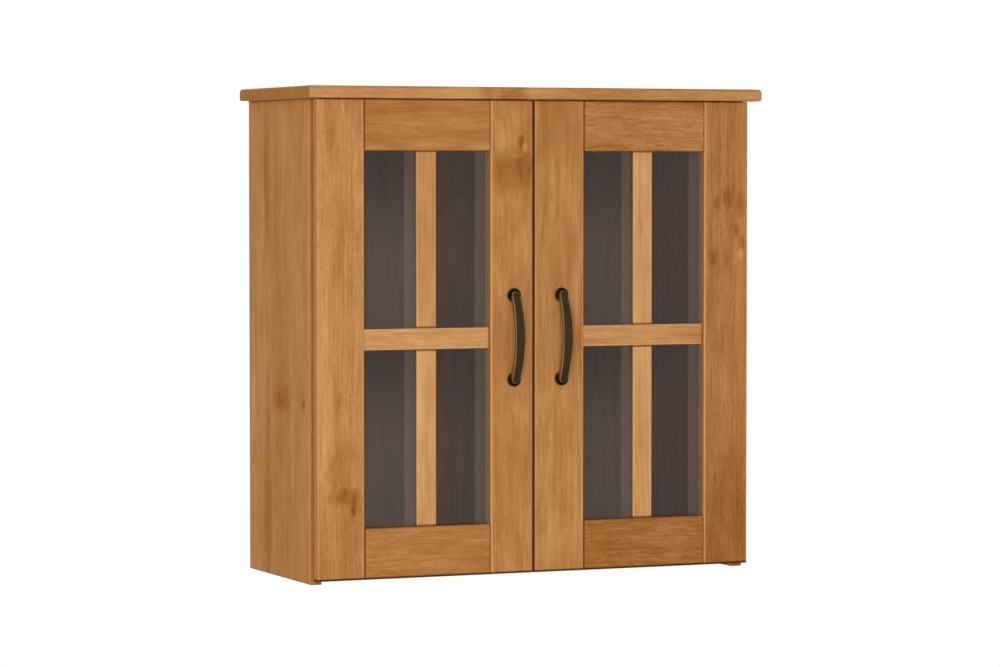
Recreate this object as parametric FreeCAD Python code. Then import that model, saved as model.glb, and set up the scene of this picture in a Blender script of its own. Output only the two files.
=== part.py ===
import FreeCAD, Part
import os

V = FreeCAD.Vector

# Frame: +X to the right of the cabinet, -Y out of the wall towards the room, +Z up.
# The origin is midway between the two wall screws, on the wall plane. All sizes are in mm.

# Carcass
TOP_WIDTH = 660.0            # top board, side to side
TOP_DEPTH = 270.0            # top board, wall to front edge
TOTAL_HEIGHT = 655.0         # bottom end of the sides to the top face
BOARD = 16.0                 # sides, top, bottom and shelf
SIDE_OVERHANG = 13.0         # top board past the outer face of each side
SIDE_DEPTH = 236.0           # sides, wall to front edge
TOP_ROUND = 5.0              # upper arris of the top board
TOP_UNDER_ROUND = 3.0        # lower arris of the top board
TOP_CORNER_ROUND = 4.0       # front corners of the top board, in plan
SIDE_ROUND = 2.0             # front and bottom arrises of the sides
BOTTOM_LIFT = 8.0            # bottom board above the lower ends of the sides
BACK_THICK = 4.0             # plywood back
BACK_REBATE = 8.0            # how far the back reaches into each side
RAIL_THICK = 18.0            # hanging rail
RAIL_HEIGHT = 70.0
WALL_SCREW_SPACING = 400.0
WALL_SCREW_HOLE_R = 3.0
SHELF_SETBACK = 25.0         # shelf front edge behind the carcass front
SHELF_END_PLAY = 1.0
SHELF_BELOW_BAR = 4.0        # shelf centre below the centre of the glazing bar
SHELF_PIN_R = 2.5
SHELF_PIN_REACH = 8.0        # into the side, and out of it
SHELF_PIN_FLANGE_R = 4.0
SHELF_PIN_FLANGE = 1.2
SHELF_PIN_INSET = 40.0       # pin rows from the front and back ends of the shelf
SHELF_HOLE_PITCH = 32.0
SHELF_HOLE_DEPTH = 9.0
DOWEL_R = 4.0
DOWEL_CHAMFER = 1.0
DOWEL_LONG = 20.0            # dowel length in end grain
DOWEL_SHORT = 11.0           # dowel length in a board's face
DOWEL_INSET = 30.0           # outer dowels from the board's edges
RAIL_DOWEL_INSET = 17.5      # hanging rail's dowels from its edges
NAIL_R = 0.9
NAIL_HEAD_R = 2.2
NAIL_HEAD = 0.8
NAIL_LENGTH = 22.0
NAIL_COUNT = 4               # up each side of the back
NAIL_FIRST = 50.0            # lowest of them above the back's lower edge
NAIL_PITCH = 164.0
BOTTOM_NAIL_SPREAD = 225.0   # outer nails in the bottom board from the middle
RAIL_NAIL_SPREAD = 120.0     # nails in the hanging rail from the middle

# Doors
DOOR_THICK = 18.0
DOOR_GAP = 2.5               # carcass front to the back of the door
DOOR_INSET = 2.5             # door edge inside the outer face of the side
DOOR_LIFT = 6.0              # door above the lower ends of the sides
DOOR_TOP_GAP = 1.0           # door below the top board
MEETING_GAP = 3.0
MEETING_GAP_LEFT = 5.4       # the gap's centre to the left of the cabinet's middle
STILE = 66.0                 # hinge stiles
RAIL = 67.5
OPENING_FROM_MIDDLE = 68.0   # glazed opening from the cabinet's middle
ARRIS = 2.5                  # front arrises of stiles and rails
JOINT_ARRIS = 1.2            # ends of the rails, where they meet the stiles
HINGE_ARRIS = 4.0            # rear arris on the hinge side, which swings past the carcass
TENON_LENGTH = 20.0
TENON_THICK = 8.0
TENON_SHOULDER = 11.0
LIP = 10.0                   # wood in front of the glass
REBATE = 8.0
BAR_WIDTH = 27.8             # glazing bars
BAR_THICK = 4.5
BAR_ARRIS = 1.6
GLASS_THICK = 3.0
GLASS_PLAY = 0.5
BEAD_ROUND = 2.5
BUMPER_R = 4.0
BUMPER_THICK = 2.0
BUMPER_INSET = 16.0

# Handles
HANDLE_CENTRES = 112.0
HANDLE_FROM_MIDDLE = 34.75
HANDLE_RISE = 24.0           # crown of the bow above the door face
BOW_THICK = 5.2
BOW_MID_WIDTH = 14.2
BOW_FOOT_R = 5.6
BOW_END_HEIGHT = 5.5         # outer face at the tips of the feet
BOW_FRONT_ROUND = 1.0
ROSETTE_R = 9.8
ROSETTE_THICK = 2.5
ROSETTE_EDGE = 1.0
HANDLE_SCREW_R = 2.0
HANDLE_SCREW_GRIP = 4.0      # thread inside the foot of the bow
HANDLE_SCREW_HEAD_R = 4.2
HANDLE_SCREW_HEAD = 2.2

# Cup hinges. Places on a hinge are (u, v, w): u inwards from the outer face of the side,
# v from the carcass front towards the wall, w up from the hinge's own height.
HINGE_FROM_END = 94.0        # hinge centre from the top or bottom of the door
PIVOT_U = 10.5
PIVOT_V = -10.5
PIN_R = 1.25
PIN_PLAY = 0.05
PIN_HALF = 10.5
CUP_R = 17.5
CUP_FROM_EDGE = 3.0
CUP_DEPTH = 12.5
CUP_WALL = 0.9
CUP_LUG_GAP = 5.4            # half the space between the two pin lugs
CUP_LUG_U = (6.0, 13.2)
CUP_LUG_TOP_V = -7.6
FLANGE_THICK = 1.2
FLANGE_ROUND = 5.8           # corners of the flange, seen from behind
FLANGE_HALF = 31.0
FLANGE_U = (26.0, 39.0)
FLANGE_START_U = 14.0        # no flange between here and the door edge
FLANGE_RING_R = 19.5
CUP_SCREW_U = 32.5
CUP_SCREW_W = 24.0
ARM_THICK = 2.6
ARM_HALF = 5.0               # half the width of the neck inside the cup
KNUCKLE_R = 2.5
NECK_BEND_U = 20.5
ARM_TOP_U = 25.3             # middle of the arm's web
NECK_OUT_V = -1.0
CHANNEL_V = (14.0, 62.0)
CHANNEL_HALF = 8.0
CHANNEL_WALL = 1.6
CHANNEL_FOOT_U = 19.0
PLATE_THICK = 2.0
PLATE_V = (29.0, 45.0)
PLATE_HALF = 25.0
PLATE_ROUND = 6.0
RIDGE_V = (18.0, 60.0)
PLATE_SCREW_W = 16.0
PLATE_SCREW_V = 37.0
CLAMP_SCREW_V = 52.0
CLAMP_SCREW_R = 2.5
CLAMP_HEAD_R = 4.5
CLAMP_HEAD = 2.0
WOOD_SCREW_R = 1.75
WOOD_SCREW_HEAD_R = 3.4
WOOD_SCREW_HEAD = 2.0
WOOD_SCREW_TIP = 2.0
PLATE_SCREW_LENGTH = 13.0
CUP_SCREW_LENGTH = 11.0

# Places worked out from the sizes above
HALF = TOP_WIDTH / 2 - SIDE_OVERHANG
INNER = HALF - BOARD
Z_UNDER = RAIL_HEIGHT / 2
Z_TOP = Z_UNDER + BOARD
Z_FOOT = Z_TOP - TOTAL_HEIGHT
Z_BOTTOM = Z_FOOT + BOTTOM_LIFT
Y_FRONT = -SIDE_DEPTH
Y_DOOR_BACK = Y_FRONT - DOOR_GAP
Y_DOOR = Y_DOOR_BACK - DOOR_THICK
Y_GLASS = Y_DOOR + LIP
DOOR_EDGE_X = -HALF + DOOR_INSET
MEETING_X = {"left": -MEETING_GAP_LEFT - MEETING_GAP / 2, "right": MEETING_GAP_LEFT - MEETING_GAP / 2}
DOOR_Z = (Z_FOOT + DOOR_LIFT, Z_UNDER - DOOR_TOP_GAP)
DOOR_MID_Z = sum(DOOR_Z) / 2
OPEN_X = (DOOR_EDGE_X + STILE, -OPENING_FROM_MIDDLE)
OPEN_MID_X = sum(OPEN_X) / 2
OPEN_Z = (DOOR_Z[0] + RAIL, DOOR_Z[1] - RAIL)
REBATE_X = (OPEN_X[0] - REBATE, OPEN_X[1] + REBATE)
REBATE_Z = (OPEN_Z[0] - REBATE, OPEN_Z[1] + REBATE)
HANDLE_X = -HANDLE_FROM_MIDDLE
HANDLE_Z = tuple(DOOR_MID_Z + side * HANDLE_CENTRES / 2 for side in (-1, 1))
HINGE_Z = {"lower": DOOR_Z[0] + HINGE_FROM_END, "upper": DOOR_Z[1] - HINGE_FROM_END}
CUP_U = DOOR_INSET + CUP_FROM_EDGE + CUP_R
SHELF_Z = DOOR_MID_Z - SHELF_BELOW_BAR - BOARD / 2
SHELF_Y = (Y_FRONT + SHELF_SETBACK, -BACK_THICK - SHELF_END_PLAY)
TO_WALL = V(0, 1, 0)
TO_ROOM = V(0, -1, 0)
TOUCH = 0.001                # places closer than this count as one


# Shaping helpers

def box(x, y, z):
    """Block between the low and high ends given for each axis."""
    return Part.makeBox(x[1] - x[0], y[1] - y[0], z[1] - z[0], V(x[0], y[0], z[0]))


def lies_on(edge, planes):
    """True where both ends of an edge lie on every plane, given as (axis, value) pairs."""
    return all(abs(getattr(end.Point, axis) - value) < TOUCH
               for end in edge.Vertexes for axis, value in planes)


def rounded(shape, radius, *edges):
    """Round each edge that is named by the planes it lies on."""
    chosen = [edge for edge in shape.Edges if any(lies_on(edge, planes) for planes in edges)]
    return shape.makeFillet(radius, chosen)


def round_corners(plate, radius, thick):
    """Round the short edges that run through a plate of the given thickness."""
    return plate.makeFillet(radius, [edge for edge in plate.Edges if abs(edge.Length - thick) < TOUCH])


def turned(profile, start, direction):
    """Turned piece from (radius, distance) points; distance runs from start along direction."""
    points = [V(radius, 0, distance) for radius, distance in profile]
    face = Part.Face(Part.makePolygon(points + points[:1]))
    solid = face.revolve(V(0, 0, 0), V(0, 0, 1), 360)
    solid.Placement = FreeCAD.Placement(start, FreeCAD.Rotation(V(0, 0, 1), direction))
    return solid


def cylinder(radius, length, start, direction):
    return Part.makeCylinder(radius, length, start, direction)


def wood_screw(start, direction, length):
    """Countersunk screw with its head's face at start."""
    profile = [(0, 0), (WOOD_SCREW_HEAD_R, 0), (WOOD_SCREW_R, WOOD_SCREW_HEAD),
               (WOOD_SCREW_R, length - WOOD_SCREW_TIP), (0, length)]
    return turned(profile, start, direction)


def flat_head_pin(start, direction, length, radius, head_r, head):
    """Nail or pan-head screw; the head's outer face is at start."""
    profile = [(0, 0), (head_r, 0), (head_r, head), (radius, head), (radius, length), (0, length)]
    return turned(profile, start, direction)


def bedded(host, pieces):
    """Host with a seat cut to the exact shape of each piece let into it."""
    for piece in pieces:
        host = host.cut(piece)
    return host


def mirrored(shape):
    return shape.mirror(V(0, 0, 0), V(1, 0, 0))


def both_sides(shapes):
    return shapes + [mirrored(shape) for shape in shapes]


# Carcass

def dowel(joint, direction):
    """Chamfered dowel through a joint face, with its long end along direction."""
    length = DOWEL_SHORT + DOWEL_LONG
    tip = DOWEL_R - DOWEL_CHAMFER
    profile = [(0, 0), (tip, 0), (DOWEL_R, DOWEL_CHAMFER), (DOWEL_R, length - DOWEL_CHAMFER),
               (tip, length), (0, length)]
    return turned(profile, joint - direction * DOWEL_SHORT, direction)


def left_dowels():
    """Three dowels at each corner of the left side, and two at the end of the hanging rail."""
    depths = (Y_FRONT + DOWEL_INSET, Y_FRONT / 2, -DOWEL_INSET)
    bottom_z = Z_BOTTOM + BOARD / 2
    rail_y = -BACK_THICK - RAIL_THICK / 2
    rail_z = (Z_UNDER - RAIL_HEIGHT + RAIL_DOWEL_INSET, Z_UNDER - RAIL_DOWEL_INSET)
    upright = [dowel(V(-HALF + BOARD / 2, y, Z_UNDER), V(0, 0, -1)) for y in depths]
    lying = [dowel(V(-INNER, y, bottom_z), V(1, 0, 0)) for y in depths]
    lying += [dowel(V(-INNER, rail_y, z), V(1, 0, 0)) for z in rail_z]
    return upright + lying


def shelf_pin(y, z):
    """Left shelf support: a pin in the side, a flange against it and a pin under the shelf."""
    length = 2 * SHELF_PIN_REACH
    flange = (SHELF_PIN_REACH, SHELF_PIN_REACH + SHELF_PIN_FLANGE)
    profile = [(0, 0), (SHELF_PIN_R, 0), (SHELF_PIN_R, flange[0]), (SHELF_PIN_FLANGE_R, flange[0]),
               (SHELF_PIN_FLANGE_R, flange[1]), (SHELF_PIN_R, flange[1]), (SHELF_PIN_R, length), (0, length)]
    return turned(profile, V(-INNER - SHELF_PIN_REACH, y, z), V(1, 0, 0))


def shelf_pin_places():
    rows = (SHELF_Y[0] + SHELF_PIN_INSET, SHELF_Y[1] - SHELF_PIN_INSET)
    return [(y, SHELF_Z - SHELF_PIN_R) for y in rows]


def spare_shelf_holes():
    """Holes one pitch above and below each shelf pin of the left side."""
    return [cylinder(SHELF_PIN_R, SHELF_HOLE_DEPTH,
                     V(-INNER - SHELF_HOLE_DEPTH, y, z + step * SHELF_HOLE_PITCH), V(1, 0, 0))
            for y, z in shelf_pin_places() for step in (-1, 1)]


def back_nails():
    """Nails that hold the back to the sides, the bottom board and the hanging rail."""
    side_z = [Z_BOTTOM + NAIL_FIRST + NAIL_PITCH * step for step in range(NAIL_COUNT)]
    places = [(side * (INNER + BACK_REBATE / 2), z) for side in (-1, 1) for z in side_z]
    places += [(step * BOTTOM_NAIL_SPREAD, Z_BOTTOM + BOARD / 2) for step in (-1, 0, 1)]
    places += [(side * RAIL_NAIL_SPREAD, 0) for side in (-1, 1)]
    return [flat_head_pin(V(x, 0, z), TO_ROOM, NAIL_LENGTH, NAIL_R, NAIL_HEAD_R, NAIL_HEAD)
            for x, z in places]


def wall_holes():
    depth = BACK_THICK + RAIL_THICK
    return [cylinder(WALL_SCREW_HOLE_R, depth, V(side * WALL_SCREW_SPACING / 2, 0, 0), TO_ROOM)
            for side in (-1, 1)]


def top_board(fasteners):
    """Board with rounded front corners and a fuller roundover above than below."""
    half = TOP_WIDTH / 2
    board = box((-half, half), (-TOP_DEPTH, 0), (Z_UNDER, Z_TOP))
    corners = [[("x", side * half), ("y", -TOP_DEPTH)] for side in (-1, 1)]
    board = rounded(board, TOP_CORNER_ROUND, *corners)
    for z, radius in ((Z_TOP, TOP_ROUND), (Z_UNDER, TOP_UNDER_ROUND)):
        rim = [edge for edge in board.Edges if lies_on(edge, [("z", z)]) and not lies_on(edge, [("y", 0)])]
        board = board.makeFillet(radius, rim)
    return bedded(board, fasteners)


def left_side_panel(fasteners):
    """Side with eased arrises, a rebate for the back and rows of shelf holes."""
    panel = box((-HALF, -INNER), (Y_FRONT, 0), (Z_FOOT, Z_UNDER))
    panel = rounded(panel, SIDE_ROUND, [("x", -HALF), ("y", Y_FRONT)], [("x", -INNER), ("y", Y_FRONT)],
                    [("x", -HALF), ("z", Z_FOOT)], [("y", Y_FRONT), ("z", Z_FOOT)])
    rebate = box((-INNER - BACK_REBATE, -INNER), (-BACK_THICK, 0), (Z_BOTTOM, Z_UNDER))
    return bedded(panel, [rebate] + spare_shelf_holes() + fasteners)


def bottom_board(fasteners):
    board = box((-INNER, INNER), (Y_FRONT, -BACK_THICK), (Z_BOTTOM, Z_BOTTOM + BOARD))
    return bedded(board, fasteners)


def back_panel(fasteners):
    reach = INNER + BACK_REBATE
    panel = box((-reach, reach), (-BACK_THICK, 0), (Z_BOTTOM, Z_UNDER))
    return bedded(panel, fasteners)


def hanging_rail(fasteners):
    rail = box((-INNER, INNER), (-BACK_THICK - RAIL_THICK, -BACK_THICK), (Z_UNDER - RAIL_HEIGHT, Z_UNDER))
    return bedded(rail, fasteners)


def shelf():
    reach = INNER - SHELF_PIN_FLANGE - SHELF_END_PLAY
    faces = (SHELF_Z, SHELF_Z + BOARD)
    board = box((-reach, reach), SHELF_Y, faces)
    return rounded(board, SIDE_ROUND, *[[("y", SHELF_Y[0]), ("z", z)] for z in faces])


# Doors, shaped on the left; the right one is turned into its mirror image

def glazing_rebate():
    return box(REBATE_X, (Y_GLASS, Y_DOOR_BACK), REBATE_Z)


def stile(x, hinged):
    """Full-height upright; a hinged one also has its rear outer arris rounded for the swing."""
    upright = box(x, (Y_DOOR, Y_DOOR_BACK), DOOR_Z)
    if hinged:
        upright = rounded(upright, HINGE_ARRIS, [("x", x[0]), ("y", Y_DOOR_BACK)])
    front = [[("x", side), ("y", Y_DOOR)] for side in x] + [[("y", Y_DOOR), ("z", end)] for end in DOOR_Z]
    return rounded(upright, ARRIS, *front).cut(glazing_rebate())


def rail(z):
    """Cross member with a tenon at each end."""
    bar = box(OPEN_X, (Y_DOOR, Y_DOOR_BACK), z)
    bar = rounded(bar, ARRIS, [("y", Y_DOOR), ("z", z[0])], [("y", Y_DOOR), ("z", z[1])])
    ends = [[("x", end), ("y", Y_DOOR)] for end in OPEN_X]
    bar = rounded(bar, JOINT_ARRIS, *ends)
    middle = (Y_DOOR + Y_DOOR_BACK) / 2
    tenon = box((OPEN_X[0] - TENON_LENGTH, OPEN_X[1] + TENON_LENGTH),
                (middle - TENON_THICK / 2, middle + TENON_THICK / 2),
                (z[0] + TENON_SHOULDER, z[1] - TENON_SHOULDER))
    return bar.fuse(tenon).removeSplitter().cut(glazing_rebate())


def glazing_bars():
    """Level and upright bar, half-lapped so that the level one shows unbroken."""
    y = (Y_GLASS - BAR_THICK, Y_GLASS)
    half_depth = sum(y) / 2
    level_z = (DOOR_MID_Z - BAR_WIDTH / 2, DOOR_MID_Z + BAR_WIDTH / 2)
    upright_x = (OPEN_MID_X - BAR_WIDTH / 2, OPEN_MID_X + BAR_WIDTH / 2)
    level = box(REBATE_X, y, level_z)
    level = rounded(level, BAR_ARRIS, *[[("y", y[0]), ("z", z)] for z in level_z])
    level = level.cut(box(upright_x, (half_depth, y[1]), level_z))
    upright = box(upright_x, y, REBATE_Z)
    upright = upright.cut(box(upright_x, (y[0], half_depth), level_z))
    sides = [[("y", y[0]), ("x", x)] for x in upright_x]
    shoulders = [[("y", y[0]), ("z", z)] for z in level_z]
    return level, rounded(upright, BAR_ARRIS, *sides, *shoulders)


def glass_pane():
    side = REBATE - GLASS_PLAY
    return box((OPEN_X[0] - side, OPEN_X[1] + side), (Y_GLASS, Y_GLASS + GLASS_THICK),
               (REBATE_Z[0], OPEN_Z[1] + side))


def glazing_beads():
    """Four mitred beads behind the glass, each with its inner rear arris rounded."""
    y = (Y_GLASS + GLASS_THICK, Y_DOOR_BACK)
    around = ((0, 0), (1, 0), (1, 1), (0, 1))
    outer = [(REBATE_X[i], REBATE_Z[j]) for i, j in around]
    inner = [(OPEN_X[i], OPEN_Z[j]) for i, j in around]
    beads = []
    for here in range(len(around)):
        following = (here + 1) % len(around)
        corners = [outer[here], outer[following], inner[following], inner[here]]
        points = [V(x, y[0], z) for x, z in corners]
        bead = Part.Face(Part.makePolygon(points + points[:1])).extrude(V(0, y[1] - y[0], 0))
        level = inner[here][1] == inner[following][1]
        plane = ("z", inner[here][1]) if level else ("x", inner[here][0])
        beads.append(rounded(bead, BEAD_ROUND, [("y", y[1]), plane]))
    return beads


def bumper(meeting_x):
    """Soft dot on the meeting stile, facing the front edge of the bottom board."""
    dot_z = Z_BOTTOM + BOARD / 2
    dot = cylinder(BUMPER_R, BUMPER_THICK, V(meeting_x - BUMPER_INSET, Y_DOOR_BACK, dot_z), TO_WALL)
    rim = [edge for edge in dot.Edges if lies_on(edge, [("y", Y_DOOR_BACK + BUMPER_THICK)])]
    return dot.makeFillet(BUMPER_THICK / 2, rim)


# Handle

def arc_wire(points):
    """Closed wire from stretches: two points make a line, three an arc through the middle one."""
    edges = []
    for stretch in points:
        ends = [V(*point) for point in stretch]
        edges.append(Part.Arc(*ends).toShape() if len(ends) == 3 else Part.LineSegment(*ends).toShape())
    return Part.Wire(edges)


def handle_bow():
    """Bow where a crescent seen from the side meets a waisted band seen from the front."""
    low = ROSETTE_THICK
    foot = HANDLE_CENTRES / 2
    tip = foot + BOW_FOOT_R
    heel = foot - BOW_FOOT_R
    waist = BOW_MID_WIDTH / 2
    crown = HANDLE_RISE
    hollow = HANDLE_RISE - BOW_THICK

    def side(height, along):
        return (HANDLE_X - waist, Y_DOOR - height, DOOR_MID_Z + along)

    crescent = arc_wire([
        (side(low, -tip), side(BOW_END_HEIGHT, -tip)),
        (side(BOW_END_HEIGHT, -tip), side(crown, 0), side(BOW_END_HEIGHT, tip)),
        (side(BOW_END_HEIGHT, tip), side(low, tip)),
        (side(low, tip), side(low, heel)),
        (side(low, heel), side(hollow, 0), side(low, -heel)),
        (side(low, -heel), side(low, -tip)),
    ])

    def front(across, along):
        return (HANDLE_X + across, Y_DOOR, DOOR_MID_Z + along)

    band = arc_wire([
        (front(BOW_FOOT_R, -foot), front(waist, 0), front(BOW_FOOT_R, foot)),
        (front(BOW_FOOT_R, foot), front(0, foot + BOW_FOOT_R), front(-BOW_FOOT_R, foot)),
        (front(-BOW_FOOT_R, foot), front(-waist, 0), front(-BOW_FOOT_R, -foot)),
        (front(-BOW_FOOT_R, -foot), front(0, -foot - BOW_FOOT_R), front(BOW_FOOT_R, -foot)),
    ])
    bow = Part.Face(crescent).extrude(V(BOW_MID_WIDTH, 0, 0))
    bow = bow.common(Part.Face(band).extrude(V(0, -2 * crown, 0)))
    outer = [edge for edge in bow.Edges
             if Y_DOOR - edge.BoundBox.YMin > BOW_END_HEIGHT and not lies_on(edge, [("y", Y_DOOR - low)])]
    return bow.makeFillet(BOW_FRONT_ROUND, outer)


def rosettes():
    """Two round plates with an eased rim under the feet of the bow."""
    plates = []
    for z in HANDLE_Z:
        plate = cylinder(ROSETTE_R, ROSETTE_THICK, V(HANDLE_X, Y_DOOR, z), TO_ROOM)
        rim = [edge for edge in plate.Edges if lies_on(edge, [("y", Y_DOOR - ROSETTE_THICK)])]
        plates.append(plate.makeFillet(ROSETTE_EDGE, rim))
    return plates


def handle_screws():
    """Screws from the back of the stile into the feet of the bow."""
    length = HANDLE_SCREW_HEAD + DOOR_THICK + ROSETTE_THICK + HANDLE_SCREW_GRIP
    return [flat_head_pin(V(HANDLE_X, Y_DOOR_BACK + HANDLE_SCREW_HEAD, z), TO_ROOM, length,
                          HANDLE_SCREW_R, HANDLE_SCREW_HEAD_R, HANDLE_SCREW_HEAD) for z in HANDLE_Z]


# Cup hinges

def place(u, v, w, height):
    """Point of a hinge in the cabinet's frame."""
    return V(-HALF + u, Y_FRONT + v, height + w)


def hinge_box(u, v, w, height):
    low = place(u[0], v[0], w[0], height)
    high = place(u[1], v[1], w[1], height)
    return box((low.x, high.x), (low.y, high.y), (low.z, high.z))


def hinge_pin(height):
    return cylinder(PIN_R, 2 * PIN_HALF, place(PIVOT_U, PIVOT_V, -PIN_HALF, height), V(0, 0, 1))


def cup_bore(height):
    return cylinder(CUP_R, CUP_DEPTH, place(CUP_U, -DOOR_GAP - CUP_DEPTH, 0, height), TO_WALL)


def cup_screws(height):
    return [wood_screw(place(CUP_SCREW_U, -DOOR_GAP + FLANGE_THICK, side * CUP_SCREW_W, height), TO_ROOM,
                       CUP_SCREW_LENGTH) for side in (-1, 1)]


def hinge_cup(height):
    """Cup with two lugs for the pin and a flange that stops short of the door's edge."""
    bore = cup_bore(height)
    floor_v = -DOOR_GAP - CUP_DEPTH
    room = cylinder(CUP_R - CUP_WALL, 2 * CUP_DEPTH, place(CUP_U, floor_v + CUP_WALL, 0, height), TO_WALL)
    lugs = [hinge_box(CUP_LUG_U, (floor_v, CUP_LUG_TOP_V), w, height)
            for w in ((-CUP_R, -CUP_LUG_GAP), (CUP_LUG_GAP, CUP_R))]
    flange_v = (-DOOR_GAP, -DOOR_GAP + FLANGE_THICK)
    flange_w = (-FLANGE_HALF, FLANGE_HALF)
    wings = round_corners(hinge_box(FLANGE_U, flange_v, flange_w, height), FLANGE_ROUND, FLANGE_THICK)
    ring = cylinder(FLANGE_RING_R, FLANGE_THICK, place(CUP_U, -DOOR_GAP, 0, height), TO_WALL)
    ring = ring.common(hinge_box((FLANGE_START_U, CUP_U + FLANGE_RING_R), flange_v, flange_w, height))
    cup = bore.fuse(wings).fuse(ring).cut(room)
    cup = cup.fuse([lug.common(bore) for lug in lugs]).removeSplitter()
    return bedded(cup, [hinge_pin(height)] + cup_screws(height))


def hinge_arm(height):
    """Goose-necked arm: a knuckle on the pin, a neck out of the cup and a channel over the plate."""
    neck_line = ((PIVOT_U, PIVOT_V), (NECK_BEND_U, PIVOT_V), (ARM_TOP_U, NECK_OUT_V),
                 (ARM_TOP_U, CHANNEL_V[0] + ARM_THICK))
    neck_points = [place(u, v, -ARM_HALF, height) for u, v in neck_line]
    outline = Part.makePolygon(neck_points).makeOffset2D(ARM_THICK / 2, 0, False, False, False)
    neck = Part.Face(outline).extrude(V(0, 0, 2 * ARM_HALF))
    knuckle = cylinder(KNUCKLE_R, 2 * ARM_HALF, place(PIVOT_U, PIVOT_V, -ARM_HALF, height), V(0, 0, 1))
    web_u = (ARM_TOP_U - ARM_THICK / 2, ARM_TOP_U + ARM_THICK / 2)
    web = hinge_box(web_u, CHANNEL_V, (-CHANNEL_HALF, CHANNEL_HALF), height)
    inside = CHANNEL_HALF - CHANNEL_WALL
    walls = [hinge_box((CHANNEL_FOOT_U, web_u[1]), CHANNEL_V, w, height)
             for w in ((-CHANNEL_HALF, -inside), (inside, CHANNEL_HALF))]
    arm = neck.fuse([knuckle, web] + walls).removeSplitter()
    bore_foot = place(PIVOT_U, PIVOT_V, -2 * ARM_HALF, height)
    running_bore = cylinder(PIN_R + PIN_PLAY, 4 * ARM_HALF, bore_foot, V(0, 0, 1))
    return bedded(arm, [running_bore, clamp_screw(height)])


def clamp_screw(height):
    """Screw that clamps the arm to the ridge of the mounting plate."""
    head_u = ARM_TOP_U + ARM_THICK / 2 + CLAMP_HEAD
    return flat_head_pin(place(head_u, CLAMP_SCREW_V, 0, height), V(-1, 0, 0), head_u - BOARD - PLATE_THICK,
                         CLAMP_SCREW_R, CLAMP_HEAD_R, CLAMP_HEAD)


def plate_screws(height):
    return [wood_screw(place(BOARD + PLATE_THICK, PLATE_SCREW_V, side * PLATE_SCREW_W, height), V(-1, 0, 0),
                       PLATE_SCREW_LENGTH) for side in (-1, 1)]


def hinge_plate(height):
    """Mounting plate: a winged base on the side and a ridge that fills the arm's channel."""
    wings = hinge_box((BOARD, BOARD + PLATE_THICK), PLATE_V, (-PLATE_HALF, PLATE_HALF), height)
    wings = round_corners(wings, PLATE_ROUND, PLATE_THICK)
    ridge_half = CHANNEL_HALF - CHANNEL_WALL
    ridge = hinge_box((BOARD, ARM_TOP_U - ARM_THICK / 2), RIDGE_V, (-ridge_half, ridge_half), height)
    plate = wings.fuse(ridge).removeSplitter()
    return bedded(plate, plate_screws(height) + [clamp_screw(height)])


# Assembly

def carcass_nodes():
    dowels = both_sides(left_dowels())
    pins = both_sides([shelf_pin(y, z) for y, z in shelf_pin_places()])
    nails = back_nails()
    left_plate_screws = [screw for height in HINGE_Z.values() for screw in plate_screws(height)]
    side = left_side_panel(dowels + pins + nails + left_plate_screws)
    return {
        "top_board": top_board(dowels),
        "left_side_panel": side,
        "right_side_panel": mirrored(side),
        "bottom_board": bottom_board(dowels + nails),
        "back_panel": back_panel(nails + wall_holes()),
        "hanging_rail": hanging_rail(dowels + nails + wall_holes()),
        "shelf": shelf(),
        "shelf_pins": pins,
        "carcass_dowels": dowels,
        "back_panel_nails": nails,
        "hinge_plate_screws": both_sides(left_plate_screws),
        "hinge_clamp_screws": both_sides([clamp_screw(height) for height in HINGE_Z.values()]),
    }


def door_nodes(meeting_x):
    """Pieces of a door whose meeting stile ends at the given place."""
    screws = handle_screws()
    cups = [cup_bore(height) for height in HINGE_Z.values()]
    flange_screws = [screw for height in HINGE_Z.values() for screw in cup_screws(height)]
    rails = {"bottom_rail": rail((DOOR_Z[0], OPEN_Z[0])), "top_rail": rail((OPEN_Z[1], DOOR_Z[1]))}
    level_bar, upright_bar = glazing_bars()
    tenoned = list(rails.values()) + [level_bar]
    nodes = {
        "hinge_stile": bedded(stile((DOOR_EDGE_X, OPEN_X[0]), True), tenoned + cups + flange_screws),
        "meeting_stile": bedded(stile((OPEN_X[1], meeting_x), False), tenoned + screws),
        "level_bar": level_bar,
        "upright_bar": upright_bar,
        "glass": glass_pane(),
        "glazing_beads": glazing_beads(),
        "handle": bedded(handle_bow(), screws),
        "handle_rosettes": [bedded(plate, screws) for plate in rosettes()],
        "handle_screws": screws,
        "cup_screws": flange_screws,
        "bumper": bumper(meeting_x),
    }
    nodes.update({name: bedded(member, [upright_bar]) for name, member in rails.items()})
    return nodes


def hinge_nodes():
    makers = {"cup": hinge_cup, "pin": hinge_pin, "arm": hinge_arm, "plate": hinge_plate}
    return {f"{level}_hinge_{piece}": make(height)
            for level, height in HINGE_Z.items() for piece, make in makers.items()}


def solids_of(shape):
    return shape if isinstance(shape, list) else [shape]


def main():
    nodes = carcass_nodes()
    for side, meeting_x in MEETING_X.items():
        for name, shape in {**door_nodes(meeting_x), **hinge_nodes()}.items():
            right = side == "right"
            nodes[f"{side}_{name}"] = [mirrored(solid) if right else solid for solid in solids_of(shape)]
    os.makedirs("parts", exist_ok=True)
    for name, shape in nodes.items():
        solids = solids_of(shape)
        whole = Part.makeCompound(solids) if len(solids) > 1 else solids[0]
        if not whole.isValid():
            print("not valid:", name)
        print(f"{name:24s} {len(whole.Solids):3d} solids {whole.Volume / 1000:9.2f} cm3")
        whole.exportStep(f"parts/{name}.step")


main()
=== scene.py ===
import math

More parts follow.
